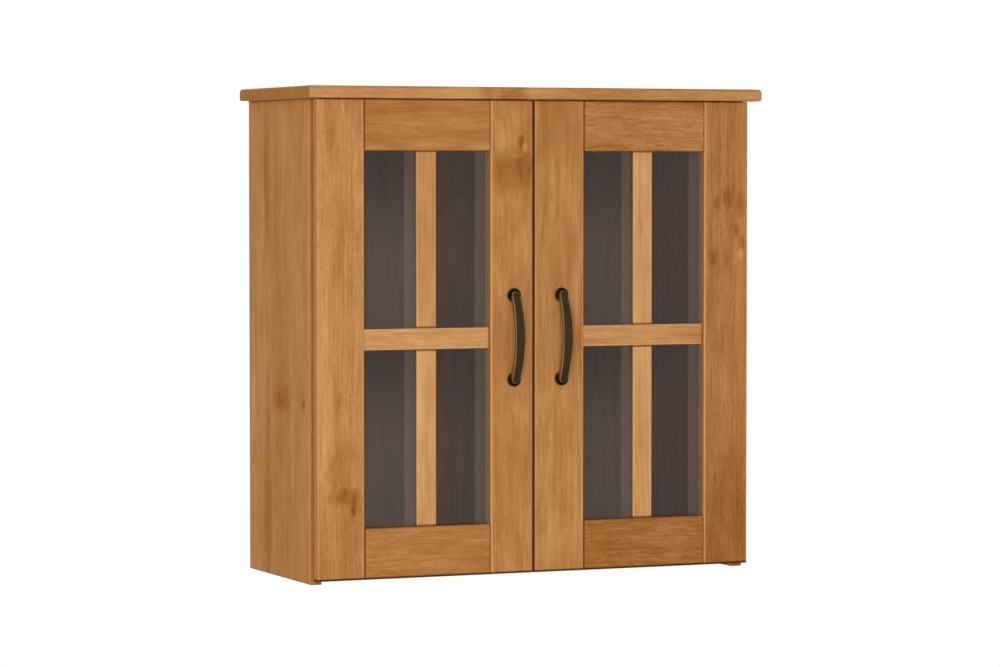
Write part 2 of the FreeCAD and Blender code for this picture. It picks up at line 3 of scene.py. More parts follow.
import bpy
import numpy as np
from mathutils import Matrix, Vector


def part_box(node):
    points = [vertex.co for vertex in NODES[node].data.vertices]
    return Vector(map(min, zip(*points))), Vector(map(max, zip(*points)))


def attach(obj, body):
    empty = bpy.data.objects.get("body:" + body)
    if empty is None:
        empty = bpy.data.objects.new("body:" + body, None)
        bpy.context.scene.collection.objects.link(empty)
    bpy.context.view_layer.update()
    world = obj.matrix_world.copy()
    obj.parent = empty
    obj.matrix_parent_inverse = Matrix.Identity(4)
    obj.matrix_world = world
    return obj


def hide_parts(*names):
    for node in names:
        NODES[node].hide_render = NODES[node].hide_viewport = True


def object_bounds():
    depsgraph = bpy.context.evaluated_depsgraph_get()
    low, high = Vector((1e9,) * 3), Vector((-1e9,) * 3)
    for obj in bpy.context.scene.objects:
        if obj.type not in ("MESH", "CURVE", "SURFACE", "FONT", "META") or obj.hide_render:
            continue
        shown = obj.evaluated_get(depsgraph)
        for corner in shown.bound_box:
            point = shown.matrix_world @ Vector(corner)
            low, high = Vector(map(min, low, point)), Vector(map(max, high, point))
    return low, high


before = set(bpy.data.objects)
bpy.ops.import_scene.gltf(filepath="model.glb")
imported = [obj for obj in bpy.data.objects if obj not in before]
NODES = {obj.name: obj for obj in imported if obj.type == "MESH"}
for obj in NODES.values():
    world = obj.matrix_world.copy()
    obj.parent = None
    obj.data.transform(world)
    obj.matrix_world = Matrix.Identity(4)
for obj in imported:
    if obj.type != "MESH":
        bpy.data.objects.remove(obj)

CAD_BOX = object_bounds()
SCENE = bpy.context.scene
MM = 0.001

# The photograph's frame, and where its camera stood
PHOTO_WIDTH_PX = 1000
FOCAL_PX = 3787.0
SENSOR_MM = 36.0
CAMERA_PLACE = (-2.054, -4.883, -0.065)
CAMERA_YAW_DEG = 23.37           # the camera stands to the left of the cabinet
CAMERA_PITCH_DEG = 2.403         # and looks slightly down

# The room
HANGING_HEIGHT = 1.40            # underside of the cabinet above the floor
FLOOR_PAINT = "EDEDEB"
WHITE = "FFFFFF"
FLOOR_REACH = 12.0
FLOOR_FADE = (1.6, 4.0)          # the floor turns white between these distances from the cabinet
FLOOR_GLOW = 0.15                # near the cabinet
FILL = 0.48                      # light from all round
KEY_PLACE = (-1.6, -3.6, 0.05)   # level with the cabinet, so the top board throws no shade on the doors
LAMP_SIZE = 2.0
KEY_WATTS = 78.0
BACK_PLACE = (1.8, 3.2, 2.3)     # lights the back and the right side
BACK_WATTS = 90.0

# Board axes: across the grain, through the board, along the grain
UPRIGHT_FRONT = ("X", "Y", "Z")
UPRIGHT_SIDE = ("Y", "X", "Z")
LEVEL_FRONT = ("Z", "Y", "X")
LEVEL_FLAT = ("Y", "Z", "X")
ACROSS, THROUGH, ALONG = range(3)
REBATE_MM = 8.0                  # how far the glazing beads reach behind the wood around the glass


def linear(hex_colour):
    """sRGB hex to the linear RGBA that shader sockets take."""
    parts = np.array([int(hex_colour[i:i + 2], 16) for i in (0, 2, 4)]) / 255.0
    light = np.where(parts <= 0.04045, parts / 12.92, ((parts + 0.055) / 1.055) ** 2.4)
    return (*light.tolist(), 1.0)


def add(tree, kind, inputs=None, stops=(), **settings):
    """Add a shader node: settings, a ramp's colour stops, and inputs from nodes, sockets or values."""
    made = tree.nodes.new("ShaderNode" + kind)
    for name, value in settings.items():
        setattr(made, name, value)
    for index, (position, colour) in enumerate(stops):
        points = made.color_ramp.elements
        point = points[index] if index < len(points) else points.new(position)
        point.position = position
        point.color = linear(colour)
    for name, value in (inputs or {}).items():
        source = value.outputs[0] if isinstance(value, bpy.types.Node) else value
        if isinstance(source, bpy.types.NodeSocket):
            tree.links.new(source, made.inputs[name])
        else:
            made.inputs[name].default_value = source
    return made


def new_material(name):
    """Empty node material and its tree."""
    material = bpy.data.materials.new(name)
    material.use_nodes = True
    material.node_tree.nodes.clear()
    return material, material.node_tree


def dress(name, material):
    """Give a node one material."""
    materials = NODES[name].data.materials
    materials.clear()
    materials.append(material)


def span_mm(name, axis):
    """Low and high end of a node along an axis, in mm."""
    return tuple(corner["XYZ".index(axis)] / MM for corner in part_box(name))


# Honey-stained pine: solid boards, planed and sanded, under a honey stain and a thin matt lacquer. The eye
# sees soft straight streaks in gold and brown, faint year rings, small knots that part the grain, and dark
# lines where the stain gathered in the joints.

PINE_TONES = ((0.0, "7E481A"), (0.28, "A06832"), (0.45, "AF7743"), (0.60, "BC8650"), (0.76, "CA945F"),
              (1.0, "DDAA76"))
KNOT_HEART = "5A2C0E"
# Stain, painted shade and painted highlights: the colour, and its share
POOLED_STAIN = ("6A360A", 0.75)  # gathered in a joint
# painted shade on the carcass sides: the front edge face, and along the head under the top board and the foot
PAINTED_SIDE_PANEL_SHADE = ("6A3608", 0.55)
PAINTED_FOOT_SHADE = ("241000", 0.85)     # painted shade along a door's lower edge
PAINTED_DOOR_SIDE_SHADE = ("C67A1C", 0.50)  # painted shade on the side faces of a door's boards, in warm amber
PAINTED_REVEAL_SHADE = ("6E3A06", 0.42)        # painted shade on the edges around the glass
# painted shade on the sides of the bars
PAINTED_BAR_SIDE_SHADE = ("7A4006", 0.65)
END_GRAIN = ("AC6C1E", 0.60)
PAINTED_ARRIS_HIGHLIGHT = ("ECB478", 0.70)  # painted highlight on a front arris
# a fainter painted highlight along an arris
SOFT_ARRIS_HIGHLIGHT = ("ECB478", 0.25)
REDDER_SIDES = ("CF7D29", 0.25)     # the sides are redder all over
PAINTED_GAP_SHADE = ("621C00", 0.70)    # painted shade on the edges where the doors meet
# Layers of a board's tone: width and length of the streaks, and their share
BROAD_MM, BROAD_SHARE = (24.0, 300.0), 0.38
STREAK_MM, STREAK_SHARE = (4.6, 105.0), 0.36
FIBRE_MM, FIBRE_SHARE = (1.7, 30.0), 0.48      # real fibres are finer; these just show in the render
FLECK_MM, FLECK_SHARE = (1.7, 8.0), 0.30       # resin canals and open pores, coarser for the same reason
BLOTCH_MM, BLOTCH_SHARE = (22.0, 60.0), 0.34   # uneven take-up of the stain
GRAIN_ROUGHNESS = 0.55           # share of the finer waves in each layer
# Year rings
RING_MM, LATE_SHARE = 6.0, -0.07               # one year's growth, and the share of its dark late wood
LATE_SHARPNESS = 4.0             # how suddenly a ring darkens at its outer side
DRIFT_MM, DRIFT_RINGS = (70.0, 260.0), 3.0     # waves in the rings: width and length, and height
PITH_MM = (40.0, 110.0)          # the log's heart from the frame's origin, across and through
LOG_STEP_MM = (137.0, 61.0, 911.0)             # from one board's place in the log to the next one's
# Waves that carry the grain sideways: width and length, and how far
SWAY_MM, SWAY_REACH_MM = (80.0, 340.0), 5.0
CURL_MM, CURL_REACH_MM = (16.0, 60.0), 1.6
SHORTEST_CURL = 0.9              # of that length, however short-grained the board is
# Knots and clouds, in units of their half sizes
KNOT_REACH, KNOT_PULL = 3.5, -0.85             # the grain swells out round a knot
HALO, HALO_TONE = (2.2, 0.8), -0.16            # a halo starts and is full at these distances
HEART = (0.75, 0.25)             # so does a heart
CLOUD_EDGE = (1.45, 0.35)        # and a cloud
RAGGED_SHARE = (0.8, 0.4)        # height of the waves in a cloud's edge, across and along
RAGGED_MM = 12.0                 # and their size
FLAMES = (2.4, -0.2)             # how a cloud follows the streaks: slope and start
# Lacquer and relief
MATT = (0.66, 0.44)              # roughness from the dark streaks to the pale ones
SATIN = 0.015                    # a stained and lacquered face hardly mirrors
RELIEF, RELIEF_MM = 0.30, 0.06
LATE_RELIEF = 0.6                # late wood stands proud of the sanded face
FAR_MM = 2000.0                  # a limit that lies past every board


def board_place(tree, axes):
    """Place on a board in mm: across the grain, through the board, along the grain."""
    split = add(tree, "SeparateXYZ", {0: add(tree, "TexCoord").outputs["Object"]})
    turned = add(tree, "CombineXYZ", {index: split.outputs[axis] for index, axis in enumerate(axes)})
    return add(tree, "VectorMath", {0: turned, "Scale": 1 / MM}, operation="SCALE")


def bead_place(tree, side):
    """The same on the beads behind a glass, with the grain along each bead; they part at the mitres."""
    x, z = span_mm(f"{side}_glazing_beads", "X"), span_mm(f"{side}_glazing_beads", "Z")
    upright = board_place(tree, UPRIGHT_FRONT)
    centred = add(tree, "VectorMath", {0: upright, 1: (sum(x) / 2, 0, sum(z) / 2)}, operation="SUBTRACT")
    reach = add(tree, "SeparateXYZ", {0: add(tree, "VectorMath", {0: centred}, operation="ABSOLUTE")})
    longer = add(tree, "Math", {0: reach.outputs[ALONG], 1: reach.outputs[ACROSS]}, operation="SUBTRACT")
    at_end = add(tree, "Math", {0: longer, 1: (z[1] - z[0] - x[1] + x[0]) / 2}, operation="GREATER_THAN")
    return add(tree, "Mix", {0: at_end, 4: upright, 5: board_place(tree, LEVEL_FRONT)},
               data_type="VECTOR").outputs[1]


def grain(tree, place, size_mm, detail):
    """Noise drawn out along the grain, in streaks of the given width and length."""
    width, length = size_mm
    drawn = add(tree, "VectorMath", {0: place, 1: (1 / width, 1 / width, 1 / length)}, operation="MULTIPLY")
    return add(tree, "TexNoise", {"Vector": drawn, "Scale": 1.0, "Detail": detail,
                                  "Roughness": GRAIN_ROUGHNESS})


def away_from(tree, place, centre, half_sizes):
    """Distance from a spot on the board's face, in units of the spot's half sizes across and along."""
    offset = add(tree, "VectorMath", {0: place, 1: (centre[0], 0, centre[1])}, operation="SUBTRACT")
    measured = add(tree, "VectorMath", {0: offset, 1: (1 / half_sizes[0], 0, 1 / half_sizes[1])},
                   operation="MULTIPLY")
    return offset, add(tree, "VectorMath", {0: measured}, operation="LENGTH").outputs["Value"]


def band(axis, low, high, fade, tint):
    """Tint of a board outside the limits low and high, fading inwards, all in mm.

    A negative fade tints the stretch between the limits and fades outwards.
    """
    return axis, (low + high) / 2, (high - low) / 2, -fade, tint


def honey_pine(name, axes, seed, tone, knots=(), clouds=(), bands=(), figure=1.0, lines=1.0, coarse=1.0,
               beads_of=None):
    """Pine of one board.

    tone picks the board's place on the scale of tones, figure draws its streaks out longer or shorter, lines
    is the strength of its fibres and flecks, and coarse their width. A knot is (across, along, half width,
    half length, share of its dark heart), and a cloud has a change of tone in place of the heart. All places
    are in mm.
    """
    material, tree = new_material("honey_pine_" + name)
    place = bead_place(tree, beads_of) if beads_of else board_place(tree, axes)
    log_place = tuple(seed * step for step in LOG_STEP_MM)
    own_log = add(tree, "VectorMath", {0: place, 1: log_place}, operation="ADD")

    bent = own_log
    curl_mm = (CURL_MM[0], CURL_MM[1] * max(figure, SHORTEST_CURL))
    for size_mm, reach in ((SWAY_MM, SWAY_REACH_MM), (curl_mm, CURL_REACH_MM)):
        # twice the reach, because noise keeps to the middle half of its scale
        sway = add(tree, "MapRange", {"Value": grain(tree, own_log, size_mm, 1.0),
                                      "To Min": -2 * reach, "To Max": 2 * reach})
        bent = add(tree, "VectorMath", {0: bent, 1: add(tree, "CombineXYZ", {0: sway})}, operation="ADD")
    halos = []
    for across, along, wide, tall, heart in knots:
        offset, away = away_from(tree, place, (across, along), (wide, tall))
        swell = add(tree, "MapRange", {"Value": away, "From Max": KNOT_REACH, "To Min": KNOT_PULL,
                                       "To Max": 0.0}, interpolation_type="SMOOTHERSTEP")
        sideways = add(tree, "VectorMath", {0: offset, 1: (1.0, 0.0, 0.0)}, operation="MULTIPLY")
        parted = add(tree, "VectorMath", {0: sideways, "Scale": swell}, operation="SCALE")
        bent = add(tree, "VectorMath", {0: bent, 1: parted}, operation="ADD")
        halos.append((away, heart))

    broad = grain(tree, bent, BROAD_MM, 2.0)
    streak = grain(tree, bent, (STREAK_MM[0], STREAK_MM[1] * figure), 2.0)
    fibre = grain(tree, bent, (FIBRE_MM[0] * coarse, FIBRE_MM[1] * figure), 3.0)
    fleck = grain(tree, bent, (FLECK_MM[0] * coarse, FLECK_MM[1] * figure), 1.0)
    blotch = grain(tree, own_log, BLOTCH_MM, 2.0)
    pith = add(tree, "VectorMath", {0: bent, 1: (PITH_MM[0] - log_place[0], PITH_MM[1] - log_place[1], 0.0)},
               operation="ADD")
    flat = add(tree, "VectorMath", {0: pith, 1: (1.0, 1.0, 0.0)}, operation="MULTIPLY")
    radius = add(tree, "VectorMath", {0: flat}, operation="LENGTH").outputs["Value"]
    drift = add(tree, "MapRange", {"Value": grain(tree, own_log, DRIFT_MM, 1.0), "To Max": DRIFT_RINGS})
    rings = add(tree, "Math", {0: radius, 1: 1 / RING_MM, 2: drift}, operation="MULTIPLY_ADD")
    late = add(tree, "Math", {0: add(tree, "Math", {0: rings}, operation="FRACT"), 1: LATE_SHARPNESS},
               operation="POWER")

    layers = ((broad, BROAD_SHARE), (streak, STREAK_SHARE), (fibre, FIBRE_SHARE * lines),
              (fleck, FLECK_SHARE * lines), (blotch, BLOTCH_SHARE), (late, LATE_SHARE))
    level = tone - sum(share for _, share in layers) / 2
    for layer, share in layers:
        level = add(tree, "Math", {0: layer, 1: share, 2: level}, operation="MULTIPLY_ADD")
    for away, _ in halos:
        halo = add(tree, "MapRange", {"Value": away, "From Min": HALO[0], "From Max": HALO[1],
                                      "To Max": HALO_TONE}, interpolation_type="SMOOTHSTEP")
        level = add(tree, "Math", {0: level, 1: halo}, operation="ADD")
    waves = add(tree, "TexNoise", {"Vector": own_log, "Scale": 1 / RAGGED_MM, "Detail": 2.0}).outputs["Color"]
    flames = add(tree, "Math", {0: streak, 1: FLAMES[0], 2: FLAMES[1]}, operation="MULTIPLY_ADD")
    for across, along, wide, tall, change in clouds:
        wander = (RAGGED_SHARE[0] * wide, RAGGED_SHARE[1] * tall)
        loose = add(tree, "VectorMath", {0: waves, 1: (wander[0], 0, wander[1]), 2: place},
                    operation="MULTIPLY_ADD")
        _, away = away_from(tree, loose, (across + wander[0] / 2, along + wander[1] / 2), (wide, tall))
        cloud = add(tree, "MapRange", {"Value": away, "From Min": CLOUD_EDGE[0], "From Max": CLOUD_EDGE[1],
                                       "To Max": change}, interpolation_type="SMOOTHSTEP")
        level = add(tree, "Math", {0: cloud, 1: flames, 2: level}, operation="MULTIPLY_ADD")

    colour = add(tree, "ValToRGB", {0: level}, stops=PINE_TONES).outputs[0]
    for away, heart in halos:
        dark = add(tree, "MapRange", {"Value": away, "From Min": HEART[0], "From Max": HEART[1],
                                      "To Max": heart}, interpolation_type="SMOOTHSTEP")
        colour = add(tree, "Mix", {0: dark, 6: colour, 7: linear(KNOT_HEART)}, data_type="RGBA").outputs[2]
    spread = add(tree, "SeparateXYZ", {0: place})
    for axis, centre, half, reach, (tint, share) in bands:
        from_centre = add(tree, "Math", {0: spread.outputs[axis], 1: centre}, operation="SUBTRACT")
        far = add(tree, "Math", {0: from_centre}, operation="ABSOLUTE")
        taken = add(tree, "MapRange", {"Value": far, "From Min": half + reach, "From Max": half,
                                       "To Max": share})
        colour = add(tree, "Mix", {0: taken, 6: colour, 7: linear(tint)}, data_type="RGBA").outputs[2]

    matt = add(tree, "MapRange", {"Value": streak, "To Min": MATT[0], "To Max": MATT[1]})
    proud = add(tree, "Math", {0: late, 1: LATE_RELIEF, 2: fibre}, operation="MULTIPLY_ADD")
    relief = add(tree, "Bump", {"Height": proud, "Strength": RELIEF, "Distance": RELIEF_MM * MM})
    shader = add(tree, "BsdfPrincipled", {"Base Color": colour, "Roughness": matt, "Normal": relief,
                                          "Specular IOR Level": SATIN})
    add(tree, "OutputMaterial", {"Surface": shader})
    return material


# Streaks of the carcass's boards
SIDE_GRAIN = {"figure": 2.2, "lines": 1.1, "coarse": 2.0}      # long and bold on the wide sides
TOP_FIGURE = 1.4
PLAIN_FIGURE = 1.6               # long and straight
INNER_TONE = 0.50                # boards that the doors hide


def dress_carcass():
    """Top, sides, bottom, shelf and rail, each a board of its own, with the photograph's knots."""
    side_front = span_mm("left_side_panel", "Y")[0]
    side_foot, side_head = span_mm("left_side_panel", "Z")
    # Sides: a redder tone all over, a painted highlight near the front arris, and painted shade on the front
    # edge face and along the head and foot.
    side_bands = [band(ACROSS, -FAR_MM, FAR_MM, -1.0, REDDER_SIDES),
                  band(ACROSS, side_front, FAR_MM, 12.0, SOFT_ARRIS_HIGHLIGHT),
                  band(ACROSS, side_front + 0.4, FAR_MM, 0.8, PAINTED_SIDE_PANEL_SHADE),
                  band(ALONG, side_foot + 0.8, side_head - 1.2, 1.6, PAINTED_SIDE_PANEL_SHADE)]
    side_knots = ((-123.0, -368.0, 17.0, 9.0, 0.28), (-211.0, -368.0, 5.0, 7.0, 0.75))
    side_clouds = ((-71.0, -70.0, 12.0, 110.0, -0.26), (-74.0, -480.0, 11.0, 150.0, -0.20),
                   (-126.0, -360.0, 34.0, 22.0, -0.16), (-208.0, -362.0, 16.0, 26.0, -0.12),
                   (-25.0, -280.0, 26.0, 330.0, 0.08), (-125.0, -330.0, 40.0, 260.0, -0.06),
                   (-120.0, -560.0, 160.0, 150.0, -0.09))
    dress("left_side_panel", honey_pine("left_side_panel", UPRIGHT_SIDE, 1, 0.68, side_knots, side_clouds,
                                        side_bands, **SIDE_GRAIN))
    dress("right_side_panel", honey_pine("right_side_panel", UPRIGHT_SIDE, 2, 0.66,
                                         [(-90.0, -180.0, 7.0, 9.0, 0.70)],
                                         [(-150.0, -400.0, 30.0, 200.0, -0.06)], side_bands, **SIDE_GRAIN))
    top_ends, top_front = span_mm("top_board", "X"), span_mm("top_board", "Y")[0]
    dress("top_board", honey_pine("top_board", LEVEL_FLAT, 3, 0.64, [(-140.0, 150.0, 7.0, 11.0, 0.75)],
                                  [(top_front, -54.0, 60.0, 34.0, -0.34), (top_front, -66.0, 40.0, 7.0, 0.15),
                                   (top_front, 190.0, 60.0, 180.0, -0.17)],
                                  [band(ALONG, *top_ends, 2.0, END_GRAIN)], TOP_FIGURE))
    inner_boards = {"bottom_board": (LEVEL_FLAT, [(-90.0, 120.0, 6.0, 10.0, 0.75)]),
                    "shelf": (LEVEL_FLAT, [(-100.0, -140.0, 6.0, 10.0, 0.75)]),
                    "hanging_rail": (LEVEL_FRONT, [])}
    for seed, (name, (axes, knots)) in enumerate(inner_boards.items(), start=4):
        dress(name, honey_pine(name, axes, seed, INNER_TONE, knots, figure=PLAIN_FIGURE))


# Length of each board's streaks in a door: the rails are short-grained, the bars straight and plain
DOOR_FIGURE = {"hinge_stile": 1.0, "meeting_stile": 0.8, "top_rail": 0.60, "bottom_rail": 0.45,
               "level_bar": PLAIN_FIGURE, "upright_bar": PLAIN_FIGURE}
SKIN_MM = 0.2                    # an edge's own face, with none of the front
RECESS_FADE_MM = 0.3
GAP_FADE_MM = 0.4


def dress_door(side, seed, boards, knots, clouds):
    """Stiles, rails, bars and beads of a door: stain in the joints, painted arris highlights, painted shade.

    boards gives each board's tone and the strength of its fine lines.
    """
    hinge_x, meeting_x = span_mm(f"{side}_hinge_stile", "X"), span_mm(f"{side}_meeting_stile", "X")
    door_left, *opening_x, door_right = sorted((*hinge_x, *meeting_x))
    gap = (span_mm("left_meeting_stile", "X")[1], span_mm("right_meeting_stile", "X")[0])
    door_z = span_mm(f"{side}_hinge_stile", "Z")
    front, back = span_mm(f"{side}_hinge_stile", "Y")
    bar_y, bar_x = span_mm(f"{side}_level_bar", "Y"), span_mm(f"{side}_upright_bar", "X")
    bar_z = span_mm(f"{side}_level_bar", "Z")
    beads_z = span_mm(f"{side}_glazing_beads", "Z")
    opening_z = (beads_z[0] + REBATE_MM, beads_z[1] - REBATE_MM)
    shaded_sides = band(THROUGH, front + 3.0, back - 1.5, -1.0, PAINTED_DOOR_SIDE_SHADE)
    # painted shade along the lower edge of the stiles and the bottom rail
    foot = (door_z[0] + 2.2, FAR_MM, 1.8, PAINTED_FOOT_SHADE)
    stile = [band(ACROSS, door_left, door_right, 3.6, SOFT_ARRIS_HIGHLIGHT),
             band(ACROSS, *opening_x, -3.2, PAINTED_ARRIS_HIGHLIGHT), shaded_sides,
             band(ACROSS, opening_x[0] - SKIN_MM, opening_x[1] + SKIN_MM, -RECESS_FADE_MM, PAINTED_REVEAL_SHADE),
             band(ACROSS, gap[0] - SKIN_MM, gap[1] + SKIN_MM, -GAP_FADE_MM, PAINTED_GAP_SHADE), band(ALONG, *foot)]
    rail = [band(ALONG, opening_x[0] + 1.2, opening_x[1] - 1.2, 1.0, POOLED_STAIN), shaded_sides,
            band(ACROSS, opening_z[0] - SKIN_MM, opening_z[1] + SKIN_MM, -RECESS_FADE_MM, PAINTED_REVEAL_SHADE)]
    shaded_bar_sides = band(THROUGH, bar_y[0] + 1.6, bar_y[1] - 0.8, -0.6, PAINTED_BAR_SIDE_SHADE)
    pieces = {
        "hinge_stile": (UPRIGHT_FRONT, stile),
        "meeting_stile": (UPRIGHT_FRONT, stile),
        "top_rail": (LEVEL_FRONT, rail),
        "bottom_rail": (LEVEL_FRONT, [*rail, band(ACROSS, *foot)]),
        "level_bar": (LEVEL_FRONT, [band(ACROSS, *bar_z, 2.2, PAINTED_ARRIS_HIGHLIGHT), shaded_bar_sides,
                                    band(ALONG, opening_x[0] + 0.8, opening_x[1] - 0.8, 1.2, POOLED_STAIN)]),
        "upright_bar": (UPRIGHT_FRONT, [band(ACROSS, *bar_x, 2.4, PAINTED_ARRIS_HIGHLIGHT), shaded_bar_sides,
                                        band(ALONG, bar_z[0] - 1.8, bar_z[1] + 1.8, -1.4, POOLED_STAIN),
                                        band(ALONG, opening_z[0] + 1.6, opening_z[1] - 1.2, 1.2,
                                             POOLED_STAIN)]),
    }
    for index, (piece, (axes, bands)) in enumerate(pieces.items()):
        name = f"{side}_{piece}"
        tone, lines = boards[piece]
        dress(name, honey_pine(name, axes, seed + index, tone, knots.get(piece, ()), clouds.get(piece, ()),
                               bands, DOOR_FIGURE[piece], lines))
    beads = f"{side}_glazing_beads"
    dress(beads, honey_pine(beads, UPRIGHT_FRONT, seed + len(pieces), INNER_TONE, figure=PLAIN_FIGURE,
                            beads_of=side))


def dress_doors():
    """Both doors, with the tones, knots and clouds that their boards show in the photograph."""
    dress_door("left", 10, {"hinge_stile": (0.52, 1.1), "meeting_stile": (0.47, 0.7),
                            "top_rail": (0.42, 0.6), "bottom_rail": (0.40, 0.8),
                            "level_bar": (0.71, 1.1), "upright_bar": (0.69, 0.6)},
               {"hinge_stile": [(-264.0, -508.0, 2.4, 10.0, 0.75)]},
               {"hinge_stile": [(-276.0, -487.0, 26.0, 11.0, -0.16), (-262.0, -497.0, 9.0, 16.0, -0.14),
                                (-284.0, -455.0, 12.0, 45.0, -0.08),
                                (-281.0, -560.0, 60.0, 110.0, -0.11), (-306.0, -282.0, 9.0, 330.0, 0.09)],
                "meeting_stile": [(-44.0, -62.0, 34.0, 28.0, -0.24), (-20.0, -54.0, 14.0, 22.0, -0.14),
                                  (-24.5, -22.0, 4.0, 9.0, -0.34), (-18.0, -29.0, 4.0, 7.0, 0.20),
                                  (-30.0, -40.0, 9.0, 4.0, 0.12), (-50.0, -18.0, 16.0, 14.0, 0.08)],
                "upright_bar": [(-158.0, -130.0, 60.0, 120.0, -0.14), (-158.0, -430.0, 60.0, 120.0, 0.06)]})
    dress_door("right", 20, {"hinge_stile": (0.41, 1.0), "meeting_stile": (0.46, 0.65),
                             "top_rail": (0.43, 1.15), "bottom_rail": (0.25, 1.0),
                             "level_bar": (0.61, 1.1), "upright_bar": (0.75, 0.6)},
               {},
               {"hinge_stile": [(284.0, -98.0, 9.0, 14.0, -0.20), (268.0, -104.0, 6.0, 12.0, -0.13),
                                (303.0, -104.0, 9.0, 18.0, -0.18), (298.0, -142.0, 5.0, 9.0, -0.22),
                                (306.0, -158.0, 5.0, 10.0, -0.22), (302.0, -174.0, 5.0, 9.0, 0.18),
                                (262.0, -178.0, 7.0, 12.0, -0.18), (282.0, -180.0, 5.0, 14.0, -0.14),
                                (281.0, -560.0, 60.0, 150.0, -0.16)],
                "meeting_stile": [(34.0, 0.0, 40.0, 50.0, -0.06), (46.0, -150.0, 9.0, 60.0, -0.11),
                                  (22.0, -185.0, 8.0, 40.0, -0.08), (32.0, -480.0, 40.0, 130.0, 0.05)]})


# Plywood: veneer peeled off a turning log, under the same stain. The knife runs in and out of the year
# rings, so they show as long wandering contours, and the surface is dull.

PLYWOOD_TONES = ((0.40, "7A4E28"), (0.68, "9E6C3C"), (0.95, "B7844F"))
PLYWOOD_MATT, PLYWOOD_SPECULAR = (0.75, 0.60), 0.12
PLYWOOD_RELIEF, PLYWOOD_RELIEF_MM = 0.3, 0.05
PEEL_MM = (130.0, 1100.0)        # width and length of the waves in the peeled log
PEELED_RINGS = 12.0              # year rings that the knife cut through
EARLY_WOOD, EARLY_SHARE = (1.0, 0.35), 0.20    # part of a ring that stays pale, and its share in the tone
ZONE_SHARE = 0.66
PORE_MM, PORE_SHARE = (1.4, 24.0), 0.40


def stained_plywood():
    """Year rings are the contour lines of a slow wave, dark at one flank, over faint zones and pores."""
    material, tree = new_material("stained_plywood")
    place = board_place(tree, UPRIGHT_FRONT)
    zones = grain(tree, place, BROAD_MM, 2.0)
    pores = grain(tree, place, PORE_MM, 2.0)
    depth = add(tree, "Math", {0: grain(tree, place, PEEL_MM, 1.4), 1: PEELED_RINGS}, operation="MULTIPLY")
    ring = add(tree, "Math", {0: depth}, operation="FRACT")
    early = add(tree, "MapRange", {"Value": ring, "From Min": EARLY_WOOD[0], "From Max": EARLY_WOOD[1],
                                   "To Max": EARLY_SHARE}, interpolation_type="SMOOTHSTEP")
    soft = add(tree, "Math", {0: zones, 1: ZONE_SHARE, 2: early}, operation="MULTIPLY_ADD")
    level = add(tree, "Math", {0: pores, 1: PORE_SHARE, 2: soft}, operation="MULTIPLY_ADD")
    colour = add(tree, "ValToRGB", {0: level}, stops=PLYWOOD_TONES)
    matt = add(tree, "MapRange", {"Value": pores, "To Min": PLYWOOD_MATT[0], "To Max": PLYWOOD_MATT[1]})
    relief = add(tree, "Bump", {"Height": pores, "Strength": PLYWOOD_RELIEF,
                                "Distance": PLYWOOD_RELIEF_MM * MM})
    shader = add(tree, "BsdfPrincipled", {"Base Color": colour, "Roughness": matt, "Normal": relief,
                                          "Specular IOR Level": PLYWOOD_SPECULAR})
    add(tree, "OutputMaterial", {"Surface": shader})
    return material


# Beech: pale turned dowels with short darker flecks.

BEECH_TONES = ((0.35, "A87E54"), (0.60, "CFA97E"))
BEECH_FLECK_MM = (0.8, 4.0)
BEECH_MATT, BEECH_SPECULAR = (0.8, 0.6), 0.2


def raw_beech():
    """Flecks are short streaks of noise, darker and duller than the wood between them."""
    material, tree = new_material("raw_beech")
    flecks = grain(tree, board_place(tree, UPRIGHT_FRONT), BEECH_FLECK_MM, 2.0)
    colour = add(tree, "ValToRGB", {0: flecks}, stops=BEECH_TONES)
    matt = add(tree, "MapRange", {"Value": flecks, "To Min": BEECH_MATT[0], "To Max": BEECH_MATT[1]})
    shader = add(tree, "BsdfPrincipled", {"Base Color": colour, "Roughness": matt,
                                          "Specular IOR Level": BEECH_SPECULAR})
    add(tree, "OutputMaterial", {"Surface": shader})
    return material


# Grey float glass, dark, with painted light low down and painted reflections by each light's right edge.

GLASS_TINT = "B6A99C"
GLASS_IN_SHADOW = "CABCAC"       # what a lamp's light keeps on its way through
GLASS_IOR = 1.40
# pale veil that carries the painted light and the painted reflections, and its roughness
PAINTED_LIGHT_VEIL, VEIL_ROUGHNESS = "C0AC9C", 0.6
LOW_PAINTED_LIGHT_SHARE = {"left": 0.014, "right": 0.002}    # painted light on the lower part of each light
LEFT_PAINTED_LIGHT_SHARE = 0.036          # and more of it on the left-hand lights
LOWER_LIGHT_RISE = (0.05, 0.60)           # it grows between these parts of a light's height, from the top
# painted reflection bands beside the bar and the stile
EDGE_REFLECTION_SHARE = 0.062
REFLECTION_BESIDE_BAR_MM = 15.5
REFLECTION_BESIDE_STILE_MM = 18.5
REFLECTION_FADE_MM = 0.8
REVEAL_REFLECTION_MM = 3.2               # narrow painted reflection of the reveal, against the stile
REVEAL_REFLECTION_SHARE = 0.16
WIPE_MM, WIPED = (5.0, 300.0), (0.006, 0.034)  # strokes of the cloth: width and length, and roughness


